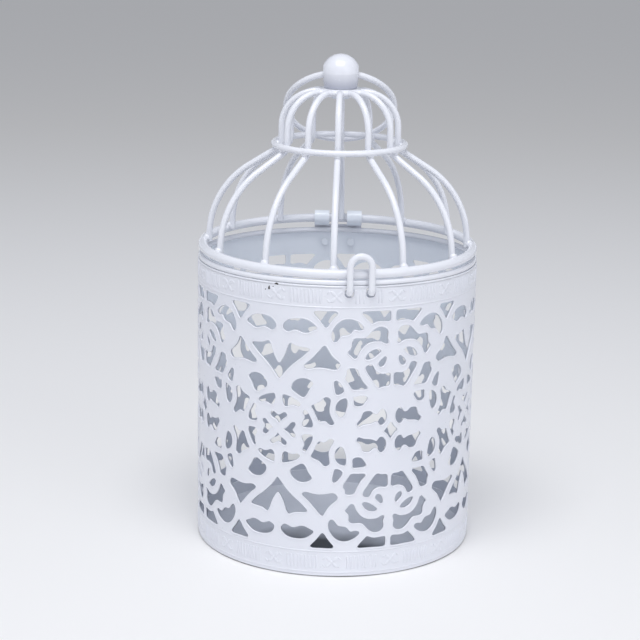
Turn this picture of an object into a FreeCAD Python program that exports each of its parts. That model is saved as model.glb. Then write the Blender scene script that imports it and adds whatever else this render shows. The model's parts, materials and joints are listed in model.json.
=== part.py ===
# Birdcage-shaped openwork metal box with a hinged wire dome lid.
# Frame: +Z up, origin at the centre of the underside, front towards -Y, hinge at the back (+Y).
# Angles around the box are counted from the front, positive towards +X.
import FreeCAD, Part
import math
import os
import re
import Sketcher
from FreeCAD import Placement, Rotation, Vector

doc = FreeCAD.newDocument("birdcage_box")

# Driving dimensions in millimetres and degrees
driving = [
    ("body_radius", 40.0, "outside of the sheet wall"),
    ("sheet_thickness", 0.5, "wall sheet"),
    ("wall_height", 82.35, "sheet wall, without the bead"),
    ("lace_bottom", 8.4, "plain band under the openings"),
    ("lace_top", 6.95, "plain band above the openings"),
    ("lace_angle", 22.7, "angle of the seam's opposite large motif"),
    ("bead_diameter", 1.6, "rounded rim"),
    ("floor_thickness", 0.8, "base plate"),
    ("flange_height", 5.0, "up-turned edge of the base plate"),
    ("flange_thickness", 0.6, "up-turned edge of the base plate"),
    ("fit_clearance", 0.05, "between fixed pieces that are pressed or welded"),
    ("rest_gap", 0.15, "lid ring above the bead at the front"),
    ("lid_wire", 2.6, "wire of the lid's lower ring"),
    ("hinge_lift", 3.05, "hinge axis above the top of the bead"),
    ("hinge_inset", 0.4, "hinge axis inside the lid ring's rearmost point"),
    ("hinge_clearance", 0.45, "lid wire to knuckle bore"),
    ("strap_thickness", 0.6, "hinge strap"),
    ("strap_width", 14.5, "hinge strap along its axis"),
    ("strap_gap", 5.5, "opening between the two knuckles"),
    ("strap_drop", 5.6, "strap below the top of the wall"),
    ("rivet_diameter", 1.2, "hinge rivets"),
    ("rivet_head", 2.2, "hinge rivet heads, across"),
    ("rivet_head_height", 0.5, "hinge rivet heads"),
    ("rivet_spacing", 8.0, "between the two hinge rivets"),
    ("rivet_drop", 3.0, "hinge rivets below the top of the wall"),
    ("rivet_clearance", 0.1, "round the rivet shanks"),
    ("rib_wire", 1.8, "wire of the dome ribs"),
    ("rib_angle", -1.5, "angle of the first rib"),
    ("rib_inset", 1.7, "rib foot inside the lid ring's centre line"),
    ("rib_straight", 1.7, "upright start of a rib"),
    ("dome_arc", 24.5, "bend of a rib's shoulder"),
    ("dome_slope", 32.0, "slope of a rib under the upper ring"),
    ("neck_bend", 2.3, "bend from the slope into the neck"),
    ("neck_radius", 16.5, "upright stretch of a rib above the slope"),
    ("neck_height", 5.7, "rib neck above the slope, up to the cap's bend"),
    ("cap_arc", 10.0, "bend of a rib into the crown"),
    ("upper_wire", 1.8, "wire of the upper ring"),
    ("upper_gap", 0.2, "upper ring clear of the rib necks"),
    ("crown_radius", 4.2, "disc that takes the rib ends"),
    ("crown_thickness", 2.0, "disc that takes the rib ends"),
    ("finial_radius", 5.35, "widest part of the finial"),
    ("finial_skirt", 4.6, "foot of the finial, radius"),
    ("finial_height", 9.5, "foot to tip"),
    ("eye_diameter", 4.2, "cross hole of the finial"),
    ("stud_diameter", 2.6, "stud that holds the finial"),
    ("stud_length", 1.6, "stud inside the finial"),
    ("stud_head", 5.0, "stud head under the crown, across"),
    ("stud_head_height", 0.8, "stud head under the crown"),
    ("hanger_radius", 15.6, "centre line of the hanging ring"),
    ("hanger_wire", 1.8, "wire of the hanging ring"),
    ("hanger_angle", 46.5, "hanging ring from straight down, at rest"),
    ("latch_angle", 9.0, "angle of the latch"),
    ("latch_wire", 1.8, "wire of the latch"),
    ("latch_half_width", 2.95, "latch leg to the latch's middle"),
    ("latch_gap", 0.2, "latch legs in front of the bead"),
    ("latch_rise", 8.35, "latch arch's centre line above the top of the wall"),
    ("latch_drop", 1.8, "latch pivot below the top of the wall"),
    ("latch_bend", 1.2, "bends of the latch wire"),
    ("latch_hook", 2.6, "down-turned latch end behind the wall"),
    ("slot_clearance", 0.3, "round the latch wire in its slots"),
    ("slot_rise", 0.6, "room above the latch wire, for its rocking"),
]

sheet = doc.addObject("Spreadsheet::Sheet", "sizes")
for row, (alias, value, note) in enumerate(driving, start=1):
    sheet.set(f"A{row}", alias)
    sheet.set(f"B{row}", str(value))
    sheet.set(f"C{row}", note)
    sheet.setAlias(f"B{row}", alias)
doc.recompute()

# Sizes that follow from the driving ones, as formulas of their names
derived = {
    "lace_height": "wall_height - lace_bottom - lace_top",
    "bead_height": "wall_height + bead_diameter / 2",
    "bead_top": "wall_height + bead_diameter",
    "lid_radius": "body_radius - lid_wire / 2",
    "hinge_y": "lid_radius - hinge_inset",
    "hinge_z": "bead_top + hinge_lift",
    "knuckle_bore": "lid_wire / 2 + hinge_clearance",
    "knuckle_radius": "knuckle_bore + strap_thickness",
    "rib_foot": "lid_radius - rib_inset",
    "slope_height": "rib_straight + dome_arc * sin(90 - dome_slope)",
    "slope_radius": "rib_foot - dome_arc + dome_arc * cos(90 - dome_slope)",
    "upper_height": "slope_height + (slope_radius - upper_radius) * tan(dome_slope)"
                    " + ((rib_wire + upper_wire) / 2 + fit_clearance) / cos(dome_slope)",
    "upper_radius": "neck_radius + (rib_wire + upper_wire) / 2 + upper_gap",
    "neck_start": "slope_height + (slope_radius - neck_radius) * tan(dome_slope)",
    "cap_start": "neck_start + neck_height",
    "crown_height": "cap_start + cap_arc",
    "finial_foot": "crown_height + crown_thickness / 2 + fit_clearance",
    "finial_shoulder": "finial_foot + finial_height - finial_radius",
    "latch_radius": "body_radius + latch_gap + latch_wire / 2",
    "latch_z": "wall_height - latch_drop",
}
names = [alias for alias, value, note in driving]
word = re.compile(r"[a-z]+(?:_[a-z]+)+")
trig = re.compile(r"(sin|cos|tan)\(([^()]*)\)")


def formula(text):
    # Replaces derived names by their formulas and driving names by their cells
    while any(name in derived for name in word.findall(text)):
        text = word.sub(lambda m: f"({derived[m.group()]})" if m.group() in derived else m.group(), text)
    text = trig.sub(r"\1((\2) * 1 deg)", text)
    return word.sub(lambda m: f"sizes.{m.group()}" if m.group() in names else m.group(), text)


def size(text):
    return float(sheet.evalExpression(formula(text)))


def bind(thing, **sizes):
    for prop, text in sizes.items():
        thing.setExpression(prop.replace("__", "."), formula(text))
    return thing


def part(kind, name, **sizes):
    return bind(doc.addObject(kind, name), **sizes)


def cut(name, base, tool):
    result = doc.addObject("Part::Cut", name)
    result.Base, result.Tool = base, tool
    return result


def fuse(name, *pieces):
    result = doc.addObject("Part::MultiFuse", name)
    result.Shapes = list(pieces)
    return result


def originPlane(body, role):
    return next(f for f in body.Origin.OriginFeatures if f.Role == role)


def newSketch(body, name, role):
    sketch = body.newObject("Sketcher::SketchObject", name)
    sketch.AttachmentSupport = (originPlane(body, role), "")
    sketch.MapMode = "FlatFace"
    return sketch


def dimension(sketch, kind, *where, value):
    # Adds a driving dimension, bound to its formula
    number = size(value)
    degrees = kind == "Angle"
    index = sketch.addConstraint(constraint(kind, *where, math.radians(number) if degrees else number))
    sketch.setExpression(f"Constraints[{index}]", f"({formula(value)}) * 1 deg" if degrees else formula(value))


def constraint(kind, *values):
    return Sketcher.Constraint(kind, *values)


pieces = {}   # node name: object


def keep(name, thing):
    thing.Label = name
    pieces[name] = thing
    return thing


# The lid closes on the bead at the front and is lifted by its hinge at the back
def lidTilt():
    return math.degrees(math.asin((size("hinge_lift") - size("rest_gap") - size("lid_wire / 2"))
                                  / size("lid_radius + hinge_y")))


def onLid(local=Placement()):
    # A placement from the lid's own frame, whose origin is the lid ring's centre
    hinge = Vector(0, size("hinge_y"), size("hinge_z"))
    ring = Placement(Vector(0, 0, size("hinge_z")), Rotation())
    closed = Placement(Vector(), Rotation(Vector(1, 0, 0), lidTilt()), hinge)
    return closed * ring * local


# Openings of the lace in one quarter of its repeat: x from the medallion's axis to the large
# motif's axis, y from mid-height to the top of the openings. Every opening is one closed curve.
tile_width, tile_height = 31.416, 34.7
on_neither, on_x, on_y, on_both = "mirrored both ways", "across x = 0", "across y = 0", "centred"
openings = [
    # top triangle
    (on_neither, [(9.5, 34.25), (9.9, 34.7), (12.8, 34.75), (15.6, 34.7), (15.95, 34.2), (14.7, 32.5),
                  (13.4, 30.5), (12.88, 30.1), (12.35, 30.5), (11.0, 32.4)]),
    # eye under the rim, beside the medallion's axis
    (on_neither, [(1.0, 29.8), (2.3, 31.6), (5.2, 32.35), (7.9, 32.0), (9.6, 30.9), (10.4, 29.8), (9.0, 28.95),
                  (8.0, 28.45), (6.6, 28.4), (5.2, 28.95), (4.0, 28.95), (2.6, 28.35), (1.5, 28.75)]),
    # V panel over the medallion
    (on_x, [(0, 14.6), (0.8, 15.5), (1.8, 16.85), (3.1, 18.35), (4.55, 19.75), (6.35, 21.25), (7.8, 22.7),
            (8.55, 23.8), (7.5, 24.15), (5.4, 24.35), (4.2, 24.75), (3.2, 25.1), (2.3, 23.5), (1.7, 21.7),
            (0.9, 20.1), (0, 19.1)]),
    # shoulder triangle
    (on_neither, [(12.8, 24.9), (13.5, 23.8), (14.3, 22.4), (15.3, 21.3), (16.6, 20.1), (16.8, 19.3), (16.0, 18.2),
                  (14.0, 18.3), (11.8, 18.6), (9.8, 18.4), (8.0, 18.1), (7.0, 18.7), (8.5, 20.4), (10.5, 22.6),
                  (11.7, 24.1)]),
    # fan
    (on_neither, [(3.6, 12.1), (3.9, 13.4), (5.1, 14.7), (6.7, 15.25), (8.1, 15.1), (9.2, 14.5), (9.65, 13.85),
                  (9.0, 12.7), (8.4, 11.65), (7.7, 10.3), (7.0, 9.8), (5.9, 10.2), (4.4, 11.2)]),
    # medallion, upper arc
    (on_neither, [(1.25, 9.9), (1.1, 8.2), (1.6, 6.9), (2.2, 6.6), (3.0, 6.95), (4.4, 7.2), (5.4, 6.9), (6.1, 7.1),
                  (6.3, 7.6), (5.6, 8.45), (4.3, 9.2), (2.9, 9.75), (1.9, 10.0)]),
    # medallion, side
    (on_neither, [(7.0, 5.4), (7.65, 6.15), (8.4, 5.3), (9.2, 3.7), (9.75, 2.0), (9.4, 1.1), (8.2, 1.0), (7.1, 1.15),
                  (6.7, 2.0), (7.25, 3.2), (7.45, 4.4)]),
    # medallion, upper heart
    (on_x, [(0, 1.5), (1.05, 2.7), (2.4, 3.8), (2.3, 4.6), (1.6, 4.8), (0.8, 4.3), (0, 3.9)]),
    # medallion, side heart
    (on_y, [(1.7, 0), (2.9, 1.0), (4.0, 2.2), (4.8, 2.1), (4.9, 1.4), (4.5, 0.7), (4.1, 0)]),
    # star beside the medallion
    (on_neither, [(9.4, 7.6), (10.7, 8.25), (11.9, 8.95), (12.7, 9.9), (13.5, 10.15), (14.4, 9.5), (14.45, 8.6),
                  (14.2, 6.9), (14.35, 5.2), (15.0, 3.8), (15.5, 2.6), (15.0, 2.0), (14.1, 2.25), (13.3, 3.0),
                  (12.3, 3.05), (11.4, 2.95), (10.95, 3.7), (10.35, 5.15), (9.6, 6.7)]),
    # leaf
    (on_neither, [(15.35, 14.5), (15.75, 15.0), (16.6, 14.5), (17.4, 13.5), (18.0, 12.3), (17.9, 11.7), (17.0, 11.0),
                  (16.0, 10.95), (15.7, 11.6), (15.45, 13.0)]),
    # teardrop
    (on_neither, [(18.6, 9.85), (18.95, 9.2), (18.95, 7.6), (18.6, 6.0), (18.1, 4.75), (17.4, 4.3), (16.5, 4.85),
                  (15.95, 6.1), (15.9, 7.4), (16.35, 8.6), (17.3, 9.5)]),
    # slanted panel
    (on_neither, [(18.9, 18.2), (20.1, 18.55), (21.35, 18.2), (21.9, 17.0), (22.6, 15.5), (23.5, 14.1), (24.4, 12.95),
                  (24.1, 12.45), (22.4, 12.4), (20.6, 12.35), (19.9, 13.0), (19.2, 14.2), (18.35, 15.6),
                  (18.7, 16.9)]),
    # small D
    (on_neither, [(20.85, 10.45), (22.4, 10.55), (24.2, 10.3), (24.5, 9.7), (24.0, 8.8), (23.3, 7.85), (22.2, 7.5),
                  (21.0, 7.8), (20.75, 9.0)]),
    # wing
    (on_neither, [(21.75, 2.3), (22.4, 1.55), (23.2, 1.9), (24.7, 2.2), (26.3, 2.5), (27.4, 2.9), (28.0, 2.05),
                  (28.8, 1.75), (29.7, 2.5), (30.1, 3.7), (29.95, 5.15), (29.3, 6.15), (28.7, 6.4), (28.0, 5.75),
                  (27.4, 5.0), (26.3, 5.2), (25.5, 5.9), (24.5, 6.0), (23.6, 5.75), (23.1, 4.7), (22.4, 3.3)]),
    # lunate cup
    (on_neither, [(23.8, 18.7), (24.4, 19.3), (25.5, 19.4), (26.1, 18.5), (26.6, 17.6), (27.6, 16.9), (29.0, 16.6),
                  (30.2, 16.8), (30.9, 16.4), (30.95, 15.0), (30.8, 13.5), (30.2, 12.95), (29.0, 12.95), (27.8, 12.6),
                  (27.0, 13.2), (25.8, 14.9), (24.5, 16.9)]),
    # slanted oval
    (on_neither, [(23.7, 21.3), (24.0, 22.1), (24.7, 23.0), (26.0, 23.7), (27.3, 23.8), (27.95, 23.3), (27.4, 22.5),
                  (26.4, 21.7), (25.3, 21.1), (24.2, 20.9)]),
    # small drop
    (on_neither, [(27.4, 19.4), (27.9, 18.75), (28.7, 18.9), (29.35, 19.8), (29.6, 21.2), (29.3, 21.7), (28.5, 21.2),
                  (27.7, 20.4)]),
    # large crescent
    (on_neither, [(19.0, 23.3), (19.7, 24.2), (20.05, 25.3), (20.05, 26.3), (20.6, 27.0), (21.9, 27.15), (23.3, 27.1),
                  (24.3, 27.75), (25.3, 28.9), (26.4, 29.8), (27.6, 30.2), (28.8, 30.0), (29.7, 29.3), (30.0, 28.2),
                  (29.8, 27.1), (30.1, 26.1), (30.1, 25.5), (29.5, 25.25), (28.3, 25.85), (27.0, 26.1), (25.3, 26.0),
                  (23.8, 25.3), (22.6, 24.1), (21.8, 22.7), (21.35, 21.6), (20.75, 21.3), (19.8, 22.1)]),
    # top corner crescent
    (on_neither, [(14.4, 27.5), (14.6, 26.6), (15.15, 26.0), (15.85, 26.2), (16.5, 27.1), (17.1, 27.8), (18.1, 28.0),
                  (19.1, 28.2), (19.8, 28.8), (20.5, 29.6), (21.5, 29.45), (22.6, 29.5), (23.05, 30.0), (22.6, 30.9),
                  (21.4, 31.85), (20.0, 32.45), (18.7, 32.6), (17.2, 32.2), (15.9, 31.2), (15.0, 29.9), (14.5, 28.6)]),
    # top slot
    (on_neither, [(22.6, 34.4), (23.1, 34.7), (26.5, 34.72), (30.2, 34.7), (30.6, 34.3), (30.65, 33.2), (30.6, 32.0),
                  (30.0, 31.65), (28.4, 31.8), (26.8, 31.75), (25.9, 31.4), (25.2, 31.25), (24.5, 31.9), (23.5, 33.0),
                  (22.8, 33.9)]),
    # centre diamond of the large motif
    (on_both, [(29.47, 0), (30.3, 0.95), (31.05, 2.1), (31.416, 2.4)]),
]


def wholeOutlines(symmetry, points):
    # All copies of one opening in a repeat, whose medallion's axis is x = 0
    def flip(outline, sx, sy):
        return [(sx * x, sy * y) for x, y in outline]

    if symmetry == on_x:
        whole = points + [(-x, y) for x, y in reversed(points) if x > 0]
        return [whole, flip(whole, 1, -1)]
    if symmetry == on_y:
        whole = points + [(x, -y) for x, y in reversed(points) if y > 0]
        return [whole, flip(whole, -1, 1)]
    if symmetry == on_both:
        upper = points + [(2 * tile_width - x, y) for x, y in reversed(points[:-1])]
        return [upper + [(x, -y) for x, y in reversed(upper[1:-1])]]
    return [flip(points, sx, sy) for sx in (1, -1) for sy in (1, -1)]


def roundedSlot(angle, height, half_width, low, high):
    # A slot outline in angle and height: a rounded rectangle by a power curve
    middle, half_height = height + (high + low) / 2, (high - low) / 2
    outline = []
    for step in range(16):
        turn = 2 * math.pi * (step + 0.5) / 16
        across = math.copysign(abs(math.cos(turn)) ** 0.5, math.cos(turn))
        up = math.copysign(abs(math.sin(turn)) ** 0.5, math.sin(turn))
        outline.append((angle + math.degrees(half_width * across / size("body_radius")), middle + half_height * up))
    return outline


def wallOutlines():
    # Every opening of the wall as (angle from the front, height) points
    repeats = 4
    seam = size("lace_angle") - 180
    middle = size("lace_bottom + lace_height / 2")
    across, up = 180 / repeats / tile_width, size("lace_height") / 2 / tile_height
    outlines = []
    for repeat in range(repeats):
        axis = seam + (repeat + 0.5) * 360 / repeats
        for symmetry, points in openings:
            if symmetry == on_both and repeat == repeats - 1:
                continue   # the sheet's seam takes the place of one diamond
            for outline in wholeOutlines(symmetry, points):
                outlines.append([(axis + across * x, middle + up * y) for x, y in outline])
    wire, clearance = size("latch_wire / 2"), size("slot_clearance")
    for side in (-1, 1):
        leg = size("latch_angle") + side * math.degrees(size("latch_half_width / latch_radius"))
        outlines.append(roundedSlot(leg, size("latch_z"), wire + clearance, -wire - clearance,
                                    wire + size("slot_rise")))
        hole = size("rivet_diameter / 2 + rivet_clearance")
        rivet = 180 + side * math.degrees(math.asin(size("rivet_spacing / 2 / body_radius")))
        # Counted from the seam, the rivets lie within one turn
        outlines.append([(rivet + math.degrees(hole * math.cos(t) / size("body_radius")),
                          size("wall_height - rivet_drop") + hole * math.sin(t))
                         for t in (2 * math.pi * step / 12 for step in range(12))])
    return outlines, seam


def clockwise(outline):
    # Every opening runs the same way round, as the rim of a hole in the sheet's outer face
    area = sum(a[0] * b[1] - b[0] * a[1] for a, b in zip(outline, outline[1:] + outline[:1]))
    return outline if area < 0 else outline[::-1]


def smoothOutline(outline, seam):
    # A closed curve through the points, in radians and height, paced by the square root of their true spacing
    points = [(math.radians(angle - seam), z) for angle, z in outline]
    pace, radius = [0.0], size("body_radius")
    for (turn, z), (next_turn, next_z) in zip(points, points[1:] + points[:1]):
        pace.append(pace[-1] + math.sqrt(math.hypot(radius * (next_turn - turn), next_z - z)))
    curve = Part.Geom2d.BSplineCurve2d()
    curve.interpolate(Points=[FreeCAD.Base.Vector2d(*point) for point in points], PeriodicFlag=True, Parameters=pace)
    return curve


def laceWall():
    outlines, seam = wallOutlines()
    height = size("wall_height")
    rims, skins = [], []
    for radius in (size("body_radius"), size("body_radius - sheet_thickness")):
        barrel = Part.Cylinder()
        barrel.Radius = radius
        edges = []
        for outline in outlines:
            edges.append(smoothOutline(clockwise(outline), seam).toShape(barrel))
        skin = barrel.toShape(0, 2 * math.pi, 0, height)
        skin.cutHoles([Part.Wire([edge]) for edge in edges])
        rims.append(edges)
        skins.append(skin)
    sides = [Part.makeRuledSurface(outer, inner) for outer, inner in zip(*rims)]
    for z in (0, height):
        rings = [Part.Wire([Part.makeCircle(skin.Surface.Radius, Vector(0, 0, z))]) for skin in skins[:2]]
        skins.append(Part.Face(rings, "Part::FaceMakerBullseye"))
    shell = Part.makeCompound(skins + sides)
    shell.sewShape()
    solid = Part.makeSolid(shell.Shells[0])
    if solid.Volume < 0:
        solid.reverse()
    # Angle 0 of the barrel is at the seam, and angles count from the front
    solid.rotate(Vector(), Vector(0, 0, 1), seam - 90)
    return solid


wall = keep("lace_wall", doc.addObject("Part::Feature", "lace_wall"))
wall.Shape = laceWall()

# Rounded rim on the wall's top edge
keep("rim_bead", part("Part::Torus", "rim_bead", Radius1="body_radius - bead_diameter / 2",
                      Radius2="bead_diameter / 2", Placement__Base__z="bead_height"))


# Base plate: a flat floor with an edge turned up inside the wall
def basePlate():
    body = doc.addObject("PartDesign::Body", "base_plate")
    sketch = newSketch(body, "base_profile", "XZ_Plane")
    rim = "body_radius - sheet_thickness - fit_clearance"
    corners = [("0", "0"), (rim, "0"), (rim, "flange_height"), (f"{rim} - flange_thickness", "flange_height"),
               (f"{rim} - flange_thickness", "floor_thickness"), ("0", "floor_thickness")]
    points = [Vector(size(x), size(y), 0) for x, y in corners]
    for index, point in enumerate(points):
        sketch.addGeometry(Part.LineSegment(point, points[(index + 1) % len(points)]), False)
    for index, (x, y) in enumerate(corners):
        sketch.addConstraint(constraint("Coincident", index - 1 if index else len(corners) - 1, 2, index, 1))
    for index, (x, y) in enumerate(corners):
        if x == "0":
            sketch.addConstraint(constraint("PointOnObject", index, 1, -2))
        else:
            dimension(sketch, "DistanceX", -1, 1, index, 1, value=x)
        if y == "0":
            sketch.addConstraint(constraint("PointOnObject", index, 1, -1))
        else:
            dimension(sketch, "DistanceY", -1, 1, index, 1, value=y)
    turned = body.newObject("PartDesign::Revolution", "base_turned")
    turned.Profile = sketch
    turned.ReferenceAxis = (sketch, ["V_Axis"])
    turned.Angle = 360
    return body


keep("base_plate", basePlate())


# Hinge strap: two knuckles round the lid ring and a leaf on the outside of the wall
def hingeStrap():
    along = Rotation(Vector(0, 1, 0), 90)
    leaf_bottom = "wall_height - strap_drop"
    knuckle = part("Part::Cylinder", "knuckle", Radius="knuckle_radius", Height="strap_width")
    bore = part("Part::Cylinder", "knuckle_hole", Radius="knuckle_bore", Height="strap_width * 2")
    for roll, length in ((knuckle, "strap_width"), (bore, "strap_width * 2")):
        roll.Placement = Placement(Vector(), along)
        bind(roll, Placement__Base__x=f"-({length}) / 2", Placement__Base__y="hinge_y", Placement__Base__z="hinge_z")
    leaf = part("Part::Box", "leaf", Length="strap_width", Width="strap_thickness",
                Height=f"hinge_z - ({leaf_bottom})", Placement__Base__x="-strap_width / 2",
                Placement__Base__y="hinge_y + knuckle_bore", Placement__Base__z=leaf_bottom)
    gap = part("Part::Box", "rib_gap", Length="strap_gap", Width="knuckle_radius * 4", Height="knuckle_radius * 4",
               Placement__Base__x="-strap_gap / 2", Placement__Base__y="hinge_y - knuckle_radius * 2",
               Placement__Base__z="hinge_z - knuckle_radius")
    holes = []
    for side, sign in (("left", "-"), ("right", "")):
        hole = part("Part::Cylinder", f"rivet_hole_{side}", Radius="rivet_diameter / 2 + rivet_clearance",
                    Height="strap_thickness * 4")
        hole.Placement = Placement(Vector(), Rotation(Vector(1, 0, 0), -90))
        holes.append(bind(hole, Placement__Base__x=f"{sign}rivet_spacing / 2",
                          Placement__Base__y="hinge_y + knuckle_bore - strap_thickness",
                          Placement__Base__z="wall_height - rivet_drop"))
    return cut("hinge_strap", fuse("strap_blank", knuckle, leaf), fuse("strap_cuts", bore, gap, *holes))


keep("hinge_strap", hingeStrap())


# Two rivets through the strap and the wall, a head at each end
def hingeRivets():
    out = size("hinge_y + knuckle_radius + fit_clearance")
    inner = size("sqrt((body_radius - sheet_thickness)^2 - (rivet_spacing / 2 + rivet_head / 2)^2) - fit_clearance")
    head, shank, deep = size("rivet_head / 2"), size("rivet_diameter / 2"), size("rivet_head_height")
    rounding = deep * 0.6
    rivets = []
    for side in (-1, 1):
        foot = Vector(side * size("rivet_spacing / 2"), 0, size("wall_height - rivet_drop"))
        towards = Vector(0, 1, 0)
        stem = Part.makeCylinder(shank, out - inner + 2 * deep, foot + towards * (inner - deep), towards)
        outer_head = Part.makeCylinder(head, deep, foot + towards * out, towards)
        outer_head = outer_head.makeFillet(rounding, [outer_head.Edges[0]])
        inner_head = Part.makeCylinder(head, deep, foot + towards * (inner - deep), towards)
        rivets.append(stem.fuse([outer_head, inner_head]).removeSplitter())
    return Part.makeCompound(rivets)


keep("hinge_rivets", doc.addObject("Part::Feature", "hinge_rivets")).Shape = hingeRivets()

# Lid: lower ring, upper ring and crown
ring = keep("lid_ring", part("Part::Torus", "lid_ring", Radius1="lid_radius", Radius2="lid_wire / 2"))
ring.Placement = onLid()
upper = keep("upper_ring", part("Part::Torus", "upper_ring", Radius1="upper_radius", Radius2="upper_wire / 2"))
upper.Placement = onLid(Placement(Vector(0, 0, size("upper_height")), Rotation()))


# One bent wire rib: upright foot, round shoulder, slope, neck and cap, in the plane of its own X and Z
def ribPath(sketch):
    foot, lean = size("rib_foot"), math.radians(size("dome_slope"))
    arc, bend, cap = size("dome_arc"), size("neck_bend"), size("cap_arc")
    neck, start = size("neck_radius"), size("rib_straight")
    slope_end = size("neck_start")
    # The neck's bend is tangent to the slope and to the upright at the neck
    setback = bend * math.tan((math.pi / 2 - lean) / 2)
    bend_from = Vector(neck + setback * math.cos(lean), slope_end - setback * math.sin(lean), 0)
    bend_to = Vector(neck, slope_end + setback, 0)
    bend_centre = Vector(neck + bend, slope_end + setback, 0)
    top, end = size("crown_height"), size("crown_radius")
    across = Vector(0, 0, 1)
    shoulder_centre = Vector(foot - arc, start, 0)
    shoulder_end = Vector(size("slope_radius"), size("slope_height"), 0)
    cap_centre = Vector(neck - cap, size("cap_start"), 0)
    sketch.addGeometry([
        Part.LineSegment(Vector(foot, 0, 0), Vector(foot, start, 0)),
        Part.ArcOfCircle(Part.Circle(shoulder_centre, across, arc), 0, math.pi / 2 - lean),
        Part.LineSegment(shoulder_end, bend_from),
        Part.ArcOfCircle(Part.Circle(bend_centre, across, bend), math.pi, 3 * math.pi / 2 - lean),
        Part.LineSegment(bend_to, Vector(neck, size("cap_start"), 0)),
        Part.ArcOfCircle(Part.Circle(cap_centre, across, cap), 0, math.pi / 2),
        Part.LineSegment(Vector(neck - cap, top, 0), Vector(end, top, 0))], False)
    foot_line, shoulder, slope, bend_arc, neck_line, cap_bend, top_line = range(7)
    first, last = 1, 2
    for one, its_end, other, other_end in (
            (foot_line, last, shoulder, first), (shoulder, last, slope, first), (slope, last, bend_arc, last),
            (bend_arc, first, neck_line, first), (neck_line, last, cap_bend, first),
            (cap_bend, last, top_line, first)):
        sketch.addConstraint(constraint("Tangent", one, its_end, other, other_end))
    sketch.addConstraint([constraint("Vertical", foot_line), constraint("PointOnObject", foot_line, first, -1),
                          constraint("Vertical", neck_line), constraint("Horizontal", top_line)])
    dimension(sketch, "DistanceX", -1, 1, foot_line, first, value="rib_foot")
    dimension(sketch, "DistanceY", foot_line, first, foot_line, last, value="rib_straight")
    dimension(sketch, "Radius", shoulder, value="dome_arc")
    dimension(sketch, "Angle", slope, value="180 - dome_slope")
    dimension(sketch, "Radius", bend_arc, value="neck_bend")
    dimension(sketch, "DistanceX", -1, 1, neck_line, last, value="neck_radius")
    dimension(sketch, "Radius", cap_bend, value="cap_arc")
    dimension(sketch, "DistanceY", -1, 1, top_line, last, value="crown_height")
    dimension(sketch, "DistanceX", -1, 1, top_line, last, value="crown_radius + fit_clearance")


def circleSketch(body, name, role, x, y, radius):
    # A circle whose centre and radius are bound to formulas
    sketch = newSketch(body, name, role)
    sketch.addGeometry(Part.Circle(Vector(size(x), size(y), 0), Vector(0, 0, 1), size(radius)), False)
    dimension(sketch, "DistanceX", -1, 1, 0, 3, value=x)
    if y == "0":
        sketch.addConstraint(constraint("PointOnObject", 0, 3, -1))
    else:
        dimension(sketch, "DistanceY", -1, 1, 0, 3, value=y)
    dimension(sketch, "Radius", 0, value=radius)
    return sketch


def rib(name):
    body = doc.addObject("PartDesign::Body", name)
    path = newSketch(body, f"{name}_path", "XZ_Plane")
    ribPath(path)
    section = circleSketch(body, f"{name}_section", "XY_Plane", "rib_foot", "0", "rib_wire / 2")
    wire = body.newObject("PartDesign::AdditivePipe", f"{name}_wire")
    wire.Profile = section
    wire.Spine = path
    seat = circleSketch(body, f"{name}_seat", "XZ_Plane", "lid_radius", "0", "lid_wire / 2")
    groove = body.newObject("PartDesign::Groove", f"{name}_foot")
    groove.Profile = seat
    groove.ReferenceAxis = (seat, ["V_Axis"])
    groove.Angle = 360
    return body


rib_count = 12
for number in range(rib_count):
    name = f"rib_{number + 1:02d}"
    turned = Rotation(Vector(0, 0, 1), size("rib_angle") - 90 + number * 360 / rib_count)
    keep(name, rib(name)).Placement = onLid(Placement(Vector(), turned))


def lathed(name, *discs):
    # A turned piece in the lid's frame: a stack of (kind, sizes) primitives on the lid's axis
    stack = []
    for index, (kind, bottom, sizes) in enumerate(discs):
        stack.append(part(kind, f"{name}_{index}", Placement__Base__z=bottom, **sizes))
    return fuse(name, *stack) if len(stack) > 1 else stack[0]


# Crown disc that takes the rib ends, drilled for the stud
crown = cut("crown_disc", lathed("crown_blank", ("Part::Cylinder", "crown_height - crown_thickness / 2",
                                                 {"Radius": "crown_radius", "Height": "crown_thickness"})),
            lathed("crown_hole", ("Part::Cylinder", "crown_height - crown_thickness",
                                  {"Radius": "stud_diameter / 2 + fit_clearance", "Height": "crown_thickness * 2"})))
keep("crown_disc", crown).Placement = onLid()

# Finial: a tapered skirt under a round top, with a cross hole for the hanging ring
skirt = ("Part::Cone", "finial_foot", {"Radius1": "finial_skirt", "Radius2": "finial_radius",
                                       "Height": "finial_height - finial_radius"})
dome = ("Part::Sphere", "finial_shoulder", {"Radius": "finial_radius"})
finial_blank = lathed("finial_blank", skirt, dome)
dome_half = doc.getObject("finial_blank_1")
dome_half.Angle1 = 0
eye = part("Part::Cylinder", "finial_eye", Radius="eye_diameter / 2", Height="finial_radius * 4")
eye.Placement = Placement(Vector(), Rotation(Vector(0, 1, 0), 90))
bind(eye, Placement__Base__x="-finial_radius * 2", Placement__Base__z="finial_shoulder")
socket = part("Part::Cylinder", "finial_socket", Radius="stud_diameter / 2 + fit_clearance",
              Height="stud_length + fit_clearance", Placement__Base__z="finial_foot")
finial = cut("finial", finial_blank, fuse("finial_cuts", eye, socket))
keep("finial", finial).Placement = onLid()

# Stud through the crown into the finial, with its head below
stud = lathed("finial_stud",
              ("Part::Cylinder", "crown_height - crown_thickness / 2 - fit_clearance - stud_head_height",
               {"Radius": "stud_head / 2", "Height": "stud_head_height"}),
              ("Part::Cylinder", "crown_height - crown_thickness / 2 - fit_clearance",
               {"Radius": "stud_diameter / 2", "Height": "crown_thickness + stud_length + 2 * fit_clearance"}))
keep("finial_stud", stud).Placement = onLid()

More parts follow.
